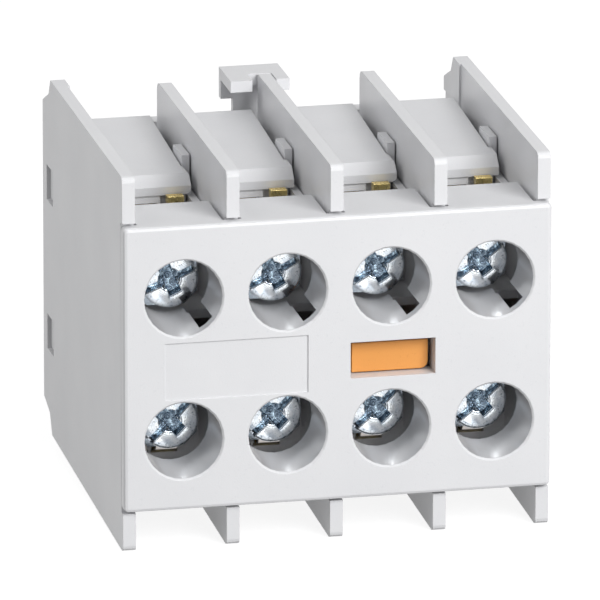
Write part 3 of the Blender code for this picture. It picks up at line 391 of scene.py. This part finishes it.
# %% Metals
BLOOM_MM, METAL_GRAIN_MM = 1.1, 0.14
METAL_DEPTH_MM = 0.004
BLOOM_ROUGHNESS, METAL_GRAIN_ROUGHNESS = 0.16, 0.14
PRESSED_EDGE_MM = 0.06
ZINC, ZINC_DULL = (0.62, 0.68, 0.74, 1.0), (0.36, 0.42, 0.49, 1.0)
STEEL, STEEL_DULL = (0.62, 0.61, 0.60, 1.0), (0.40, 0.39, 0.39, 1.0)


def bloom_of(place):
    return noise(place, BLOOM_MM, detail=3.0, roughness=0.6)


def metal_grain(place):
    return noise(place, METAL_GRAIN_MM, detail=4.0, roughness=0.65)


def worn_metal(name, bright, dull, roughness, has_edges):
    material, shader, place = start_material(name)
    bloom = bloom_of(place)
    grain = metal_grain(place)
    least = roughness - (BLOOM_ROUGHNESS + METAL_GRAIN_ROUGHNESS) / 2
    normal = rounded(place, PRESSED_EDGE_MM) if has_edges else None
    feed(shader, "Base Color", mixed(bloom, bright, dull))
    feed(shader, "Metallic", 1.0)
    feed(shader, "Roughness", bloom * BLOOM_ROUGHNESS + grain * METAL_GRAIN_ROUGHNESS + least)
    feed(shader, "Normal", bumped(grain + bloom, METAL_DEPTH_MM, normal))
    return material


zinc = worn_metal("blue_zinc", ZINC, ZINC_DULL, 0.24, has_edges=True)
spring_wire = worn_metal("spring_wire", STEEL, STEEL_DULL, 0.30, has_edges=False)
print("made", zinc.name, spring_wire.name)

# %% [markdown]
# ## Contact strips: brass, tinned at the terminal, silver at the tips
#
# One stamping has three surfaces. The sheet is yellow brass, rolled, so its grain is long one way. Where
# wires are clamped it is tinned, which leaves it a soft grey, and the tin stops short of the ends that look
# out at the top. The contact tips are silver. All three have fixed places on the part, so masks built from
# the coordinates choose between them: the height above the middle plane and the depth end the tin, and the
# distance from the nearest tip's axis finds the silver.

# %% Contact metal
TIP_RISE = 5.60 * MM
TIP_INSIDE, TIP_OUTSIDE = 1.07 * MM, 1.13 * MM
TIN_WAVE = 0.4 * MM
TIN_REACH, TIN_END = 13.50 * MM, 13.70 * MM
TIN_BACK, TIN_BACK_END = -6.30 * MM, -5.90 * MM
ROLLED = (1.0, 1.0, 0.15)
BRASS = (1.0, 0.85, 0.38, 1.0)
BRASS_DULL = (0.93, 0.70, 0.26, 1.0)
TIN = (0.62, 0.59, 0.56, 1.0)
SILVER = (0.86, 0.85, 0.83, 1.0)
SHEET_ROUGHNESS, SHEET_VARIES, TIN_ROUGHNESS = 0.14, 0.14, 0.12


def contact_metal():
    material, shader, place = start_material("contact_metal")
    _, depth, height = parts_of(place)
    grain = metal_grain(stretched(place, ROLLED))
    bloom = bloom_of(place)
    reach = height - MIDDLE_HEIGHT + grain * TIN_WAVE
    in_front = 1 - step(depth, TIN_BACK, TIN_BACK_END)
    tinned = (1 - step(reach, TIN_REACH, TIN_END)) * in_front
    silvered = 1 - step(length_of(*from_axis(place, TIP_RISE)), TIP_INSIDE, TIP_OUTSIDE)
    plain = mixed(bloom, BRASS, BRASS_DULL)
    rough = bloom * SHEET_VARIES + grain * SHEET_VARIES + tinned * TIN_ROUGHNESS + SHEET_ROUGHNESS
    feed(shader, "Base Color", mixed(silvered, mixed(tinned, plain, TIN), SILVER))
    feed(shader, "Metallic", 1.0)
    feed(shader, "Roughness", rough)
    feed(shader, "Normal", bumped(grain + bloom, METAL_DEPTH_MM, rounded(place, PRESSED_EDGE_MM)))
    return material


strip_metal = contact_metal()
print("made", strip_metal.name)

# %% [markdown]
# ## Finishes for the frame's own pieces
#
# A piece whose shape is already right stays as it is, and only its material changes. The record names a
# material slot for each node, so a small table from slot to material dresses all of them.

# %% Dress the frame
finishes = {
    "housing": grey_plastic,
    "carrier": orange_plastic,
    "contact": strip_metal,
    "terminal": zinc,
    "spring": spring_wire,
}
slot_of = {part["node"]: part["material_slot"] for part in frame["record"]["subparts"]}


def dress(obj, material):
    obj.data.materials.clear()
    obj.data.materials.append(material)


for name, obj in nodes.items():
    dress(obj, finishes[slot_of[name]])
dress(nodes["front_cover"], cover_plastic)
print("dressed", len(nodes), "nodes")

# %% [markdown]
# ## Terminal screws
#
# The screws are what the eye goes to, so they get finer meshes than the frame has. Each starts as a turned
# blank, as in the factory: a profile spun round the axis in 64 steps, with a slightly domed face and a
# rounded edge. A turned shape is its outline and nothing else, so a short list of radii and depths is the
# shortest way to it.

# %% Turned shapes
ROUND_STEPS = 64
SEAM = 0.0005 * MM
TRUE_EDGE = math.radians(32)


def shade(mesh):
    """Shades a mesh smooth, except at its true edges."""
    mesh.shade_smooth()
    mesh.set_sharp_from_angle(angle=TRUE_EDGE)


def new_piece(shape, name):
    """Turns a bmesh into an object in the scene."""
    mesh = bpy.data.meshes.new(name)
    bmesh.ops.recalc_face_normals(shape, faces=shape.faces)
    shape.to_mesh(mesh)
    shape.free()
    shade(mesh)
    obj = bpy.data.objects.new(name, mesh)
    bpy.context.scene.collection.objects.link(obj)
    return obj


def spun(profile, name):
    """A closed solid from pairs of radius and depth, spun round the Y axis."""
    shape = bmesh.new()
    ring = [shape.verts.new((radius * MM, depth * MM, 0)) for radius, depth in profile]
    edges = [shape.edges.new(pair) for pair in zip(ring, ring[1:])]
    bmesh.ops.spin(shape, geom=ring + edges, axis=(0, 1, 0), cent=(0, 0, 0), steps=ROUND_STEPS, angle=TURN)
    bmesh.ops.remove_doubles(shape, verts=shape.verts, dist=SEAM)
    return new_piece(shape, name)


HEAD_PROFILE = [
    (0.0, 0.0), (1.5, 0.01), (2.3, 0.04), (2.68, 0.09), (2.84, 0.15), (2.95, 0.27), (3.0, 0.44),
    (3.0, 1.85), (2.88, 2.0), (1.24, 2.0), (1.24, 8.5), (0.6, 9.15), (0.0, 9.15),
]
screw_blank = spun(HEAD_PROFILE, "screw_blank")
print("the blank has", len(screw_blank.data.polygons), "faces")

# %% [markdown]
# ## The recess in the head
#
# The head takes a flat blade or a cross driver. A slot runs across all of it, a wider and shorter arm
# crosses the slot, and a cone lies in the middle. In the factory one punch presses them in. Here three
# punches are cut out with Boolean modifiers, which is the same in reverse, and a Bevel modifier breaks the
# new edges, because a perfectly sharp edge catches no light.

# %% Recess of the head
PUNCH_ABOVE = 0.5
SLOT_WIDTH, SLOT_DEPTH, SLOT_LENGTH = 0.85, 1.10, 8.0
CROSS_WIDTH, CROSS_DEPTH, CROSS_LENGTH = 1.45, 1.45, 3.55
CENTRE_PROFILE = [(0.0, -PUNCH_ABOVE), (1.45, -PUNCH_ABOVE), (1.15, 0.3), (0.0, 1.75)]
SIDE_DRAFT, END_DRAFT = 0.82, 0.90
BROKEN_EDGE = 0.08
BROKEN_FROM = math.radians(35)


def punch(width, depth, length):
    """A bar that leans in a little towards its foot, as a punch does so that it comes out again."""
    shape = bmesh.new()
    bmesh.ops.create_cube(shape, size=1.0)
    for vert in shape.verts:
        deep = vert.co.y > 0
        vert.co.x *= length * MM * (END_DRAFT if deep else 1.0)
        vert.co.z *= width * MM * (SIDE_DRAFT if deep else 1.0)
        vert.co.y = (depth if deep else -PUNCH_ABOVE) * MM
    return new_piece(shape, "punch")


def taken_out(target, tools):
    """Cuts the tools out of the target, breaks the new edges and keeps the result as a plain mesh."""
    for tool in tools:
        cutting = target.modifiers.new("cut", "BOOLEAN")
        cutting.operation = "DIFFERENCE"
        cutting.solver = "EXACT"
        cutting.object = tool
    edges = target.modifiers.new("broken_edges", "BEVEL")
    edges.width = BROKEN_EDGE * MM
    edges.segments = 2
    edges.limit_method = "ANGLE"
    edges.angle_limit = BROKEN_FROM
    depsgraph = bpy.context.evaluated_depsgraph_get()
    result = bpy.data.meshes.new_from_object(target.evaluated_get(depsgraph))
    target.modifiers.clear()
    for tool in tools:
        bpy.data.objects.remove(tool)
    shade(result)
    return result


slot_punch = punch(SLOT_WIDTH, SLOT_DEPTH, SLOT_LENGTH)
cross_punch = punch(CROSS_WIDTH, CROSS_DEPTH, CROSS_LENGTH)
cross_punch.rotation_euler.y = math.radians(90)
centre_punch = spun(CENTRE_PROFILE, "centre_punch")
head_mesh = taken_out(screw_blank, [slot_punch, cross_punch, centre_punch])
bpy.data.objects.remove(screw_blank)
print("the head with its recess has", len(head_mesh.polygons), "faces")

# %% [markdown]
# ## The thread
#
# The shank carries a metric thread with a pitch of half a millimetre. It shows only from the side, between
# the washer and the strip, so a ridge with a flat crest is enough: one cross-section, turned a little and
# moved on a little at each step, so that it rises by the pitch in a full turn.

# %% Thread
THREAD_PITCH = 0.50
THREAD_STEPS = 36
THREAD_START, THREAD_END = 2.4, 8.4
RIDGE = ((1.23, -0.24), (1.44, -0.03), (1.44, 0.03), (1.23, 0.24))


def winding():
    """A ridge that winds round the Y axis, from pairs of radius and offset along it."""
    shape = bmesh.new()
    turns = (THREAD_END - THREAD_START) / THREAD_PITCH
    rows = []
    for step_number in range(int(turns * THREAD_STEPS) + 1):
        angle = TURN * step_number / THREAD_STEPS
        depth = THREAD_START + THREAD_PITCH * step_number / THREAD_STEPS
        row = []
        for radius, offset in RIDGE:
            x = radius * MM * math.cos(angle)
            z = radius * MM * math.sin(angle)
            row.append(shape.verts.new((x, (depth + offset) * MM, z)))
        rows.append(row)
    for one, two in zip(rows, rows[1:]):
        for left in range(len(one) - 1):
            shape.faces.new((one[left], one[left + 1], two[left + 1], two[left]))
    return shape


def screw_mesh():
    """The head and shank joined with the thread."""
    shape = winding()
    shape.from_mesh(head_mesh)
    mesh = bpy.data.meshes.new("fine_screw")
    shape.to_mesh(mesh)
    shape.free()
    shade(mesh)
    return mesh


fine_screw = screw_mesh()
print("one screw has", len(fine_screw.polygons), "faces")

# %% [markdown]
# ## Zinc on the screws
#
# The heads are turned, then the recess is pressed in, then the whole screw is plated and passivated blue.
# So the face keeps fine rings from the turning tool, and the recess has the torn, lumpy floor that the punch
# leaves. The recess is painted darker the deeper it lies, as painted shade, and its torn places are painted
# paler, as painted glints. The rings are a sine of the distance from the axis, and the recess is found by
# its depth below the face, inside the rim.

# %% Screw finish
RING_MM, LUMP_MM, STAIN_MM, PIT_MM, TORN_MM = 0.16, 0.34, 0.9, 0.26, 0.65
PLATED, STAINED, PITTED = (0.86, 0.89, 0.91, 1.0), (0.50, 0.57, 0.65, 1.0), (0.16, 0.20, 0.24, 1.0)
# Painted colours of the recess: painted shade where it lies deep, and a paler painted glint on its torn
# places.
RECESS_PAINTED_SHADE, RECESS_PAINTED_GLINT = (0.08, 0.13, 0.19, 1.0), (0.42, 0.55, 0.66, 1.0)
STAIN_RANGE, PIT_RANGE, GLINT_RANGE = (0.42, 0.70), (0.58, 0.68), (0.44, 0.60)
SUNK_RANGE = (0.16 * MM, 0.30 * MM)
RIM_RANGE = (2.60 * MM, 2.80 * MM)
# Depths below the face over which the painted shade of the recess sets in, and how far it goes.
SHADE_DEPTH_RANGE = (0.25 * MM, 1.1 * MM)
SHADE_SHARE, PIT_SHARE = 0.9, 0.7
RECESS_HEIGHT, TORN_HEIGHT, LUMP_HEIGHT, RING_HEIGHT, PIT_DEPTH = 3.0, 2.0, 0.15, 0.03, 0.2
RELIEF_MM = 0.030
STAIN_ROUGHNESS, LUMP_ROUGHNESS, LEAST_ROUGHNESS = 0.12, 0.06, 0.04


def screw_finish():
    material, shader, place = start_material("plated_screw")
    x, depth, z = parts_of(place)
    radius = length_of(x, z)
    rings = place.math("SINE", radius * (TURN / (RING_MM * MM)))
    sunk = step(depth, *SUNK_RANGE) * (1 - step(radius, *RIM_RANGE))
    lumps = noise(place, LUMP_MM, detail=3.0, roughness=0.6)
    stains = noise(place, STAIN_MM, detail=4.0, roughness=0.65)
    # One noise for the real torn floor of the recess and for its painted glints.
    torn_and_glint = noise(place, TORN_MM, roughness=0.55)
    pits = step(noise(place, PIT_MM, roughness=0.6), *PIT_RANGE) * (1 - sunk)
    face = mixed(pits * PIT_SHARE, mixed(step(stains, *STAIN_RANGE), PLATED, STAINED), PITTED)
    # Recess colour: painted shade, with paler painted glints where the torn noise is high.
    recess = mixed(step(torn_and_glint, *GLINT_RANGE), RECESS_PAINTED_SHADE, RECESS_PAINTED_GLINT)
    relief = (lumps + torn_and_glint * TORN_HEIGHT) * (sunk * RECESS_HEIGHT) + lumps * LUMP_HEIGHT
    relief = relief + rings * (RING_HEIGHT - sunk * RING_HEIGHT) - pits * PIT_DEPTH
    # The deeper the recess, the more of its painted shade replaces the face's own colour.
    feed(shader, "Base Color", mixed(step(depth, *SHADE_DEPTH_RANGE) * sunk * SHADE_SHARE, face, recess))
    feed(shader, "Metallic", 1.0)
    feed(shader, "Roughness", stains * STAIN_ROUGHNESS + lumps * LUMP_ROUGHNESS + LEAST_ROUGHNESS)
    feed(shader, "Normal", bumped(relief, RELIEF_MM))
    return material


screw_zinc = screw_finish()
print("rings every", RING_MM, "mm")

# %% [markdown]
# ## Each screw in its place
#
# The fitter leaves every screw at another angle, and so does the photograph: the slots of the upper row lie
# flatter than those of the lower row. All eight screws share one mesh. Each rides on the body that turns in
# its joint and takes the place of the frame's plain screw.

# %% Set the screws in their places
UPPER_ANGLES = (23.0, 27.0, 31.0, 35.0)
LOWER_ANGLES = (45.0, 43.5, 42.0, 40.5)


def set_screw(row, number, slot_angle):
    node = f"screw_{row}_{number}"
    low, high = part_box(node)
    screw = bpy.data.objects.new(f"fine_{node}", fine_screw)
    bpy.context.scene.collection.objects.link(screw)
    screw.location = ((low.x + high.x) / 2, low.y, (low.z + high.z) / 2)
    screw.rotation_euler.y = -math.radians(slot_angle)
    dress(screw, screw_zinc)
    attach(screw, f"turning_{node}")
    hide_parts(node)
    return screw


for row, angles in (("upper", UPPER_ANGLES), ("lower", LOWER_ANGLES)):
    for number, slot_angle in enumerate(angles, 1):
        set_screw(row, number, slot_angle)
print("set", len(UPPER_ANGLES) + len(LOWER_ANGLES), "screws")

# %% [markdown]
# ## Springs
#
# Six springs work inside. The frame holds them as coarse coils, so each is wound again from round wire with
# 32 steps a turn, in the space that its coarse one takes up. The end turns lie close together, as on a real
# compression spring.

# %% Wind a spring
WIRE_SIDES = 10
TURN_STEPS = 32
DEAD_RISE = 1.15


def wound(length, diameter, wire, turns, name):
    """A compression spring from y = 0 to its length, with one dead turn at each end."""
    radius = (diameter - wire) / 2
    dead = DEAD_RISE * wire
    rise = (length - wire - 2 * dead) / (turns - 2)
    shape = bmesh.new()
    rings = []
    for step_number in range(turns * TURN_STEPS + 1):
        turned = step_number / TURN_STEPS
        live = min(max(turned - 1, 0), turns - 2)
        middle = wire / 2 + (turned - live) * dead + live * rise
        ring = []
        for side in range(WIRE_SIDES):
            around = TURN * side / WIRE_SIDES
            reach = radius + wire / 2 * math.cos(around)
            x = reach * math.cos(TURN * turned)
            z = reach * math.sin(TURN * turned)
            ring.append(shape.verts.new((x, middle + wire / 2 * math.sin(around), z)))
        rings.append(ring)
    for one, two in zip(rings, rings[1:]):
        for side in range(WIRE_SIDES):
            beside = (side + 1) % WIRE_SIDES
            shape.faces.new((one[side], one[beside], two[beside], two[side]))
    shape.faces.new(rings[0])
    shape.faces.new(reversed(rings[-1]))
    return new_piece(shape, name)


def set_spring(node, wire, turns):
    low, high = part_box(node)
    spring = wound(high.y - low.y, high.x - low.x, wire, turns, f"fine_{node}")
    spring.location = ((low.x + high.x) / 2, low.y, (low.z + high.z) / 2)
    dress(spring, spring_wire)
    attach(spring, nodes[node].parent.name.removeprefix("body:"))
    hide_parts(node)
    return spring, low, high


print("a turn has", TURN_STEPS * WIRE_SIDES, "faces")

# %% [markdown]
# ## Springs on their bodies
#
# A spring gets shorter when the piece on it moves in. The two return springs stand on the base and take the
# carrier's travel. The outer two bridges press their springs as they close. The inner two open instead, and
# their springs keep their length. Each spring here rides on its body, and those that would get shorter get a
# mesh of their own, but nothing squashes them.

# %% Set the springs
RETURN_WIRE, RETURN_TURNS = 0.45 * MM, 6
CONTACT_WIRE, CONTACT_TURNS = 0.36 * MM, 5


def shortened(spring):
    """Gives a spring a mesh of its own; nothing here squashes it by its joint's travel."""
    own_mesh(spring)


for side in ("left", "right"):
    spring, low, high = set_spring(f"return_spring_{side}", RETURN_WIRE, RETURN_TURNS)
    shortened(spring)
for number in (1, 2, 3, 4):
    spring, low, high = set_spring(f"contact_spring_{number}", CONTACT_WIRE, CONTACT_TURNS)
    if number in (1, 4):
        shortened(spring)
print("set 6 springs")

# %% [markdown]
# ## The studio
#
# A product photograph of this kind has a white ground that runs out of the picture. Here the floor is a
# large sheet with a little light of its own, like a light table, which also reaches up into the wire
# openings underneath. To the camera, and in what metal and gloss mirror, it has more of that light, so that
# it reads as white and still keeps the shadow of the block.

# %% Floor
FLOOR_SIZE = 6.0
FLOOR_DROP = 0.02 * MM
FLOOR_GREY = (0.22, 0.22, 0.22, 1.0)
TABLE_LIGHT = (0.13, 0.13, 0.13, 1.0)
TABLE_LIGHT_SEEN = (0.87, 0.87, 0.87, 1.0)


def in_view(wire):
    """1 for rays from the camera and for mirrored ones, and 0 for those that carry plain light."""
    path = wire.node("ShaderNodeLightPath").socket.node
    names = ("Is Camera Ray", "Is Glossy Ray", "Is Transmission Ray")
    camera_ray, glossy_ray, through_ray = [Wire(wire.tree, path.outputs[name]) for name in names]
    return wire.math("MAXIMUM", wire.math("MAXIMUM", camera_ray, glossy_ray), through_ray)


def add_floor():
    bpy.ops.mesh.primitive_plane_add(size=FLOOR_SIZE, location=(0, 0, cad_low.z - FLOOR_DROP))
    floor = bpy.context.object
    floor.name = "studio_floor"
    material, shader, place = start_material("white_ground")
    feed(shader, "Base Color", FLOOR_GREY)
    feed(shader, "Roughness", 0.9)
    feed(shader, "Emission Color", mixed(in_view(place), TABLE_LIGHT, TABLE_LIGHT_SEEN))
    feed(shader, "Emission Strength", 1.0)
    dress(floor, material)
    return floor


floor = add_floor()
print("the floor lies at", round(floor.location.z / MM, 2), "mm")

# %% [markdown]
# ## Light
#
# The front is the brightest side in the photograph, the top is a little darker, and the left side is the
# darkest. The bottom of each well is bright on the left. That is a soft lamp in front, above and to the
# right, a large one high on the left, and an even glow from all round. A lamp's power is worked out from
# the brightness it should give: power P at distance d gives P / (pi * d)^2.

# %% World and lamps
WORLD_LIGHT = 0.28
KEY_LAMP = {"direction": (0.30, -0.66, 0.40), "distance": 0.50, "size": 0.26, "brightness": 0.97}
HIGH_LEFT_LAMP = {"direction": (-0.9, -0.1, 1.0), "distance": 0.55, "size": 0.45, "brightness": 0.30}


def add_world():
    world = bpy.data.worlds.new("studio_world")
    world.use_nodes = True
    tree = world.node_tree
    background = tree.nodes["Background"]
    start = Wire(tree)
    light = in_view(start) * (1.0 - WORLD_LIGHT) + WORLD_LIGHT
    background.inputs["Color"].default_value = (1.0, 1.0, 1.0, 1.0)
    tree.links.new(light.socket, background.inputs["Strength"])
    bpy.context.scene.world = world


def add_lamp(name, direction, distance, size, brightness):
    """A square lamp that gives a white surface facing it this brightness."""
    data = bpy.data.lights.new(name, "AREA")
    data.size = size
    data.energy = brightness * (math.pi * distance) ** 2
    lamp = bpy.data.objects.new(name, data)
    bpy.context.scene.collection.objects.link(lamp)
    middle = (cad_low + cad_high) / 2
    toward = Vector(direction).normalized()
    lamp.location = middle + toward * distance
    lamp.rotation_euler = (-toward).to_track_quat("-Z", "Y").to_euler()
    return lamp


add_world()
lamps = [add_lamp("key_lamp", **KEY_LAMP), add_lamp("high_left_lamp", **HIGH_LEFT_LAMP)]
bpy.context.scene.view_settings.view_transform = "Standard"
print("lamps of", [round(lamp.data.energy, 2) for lamp in lamps], "W")
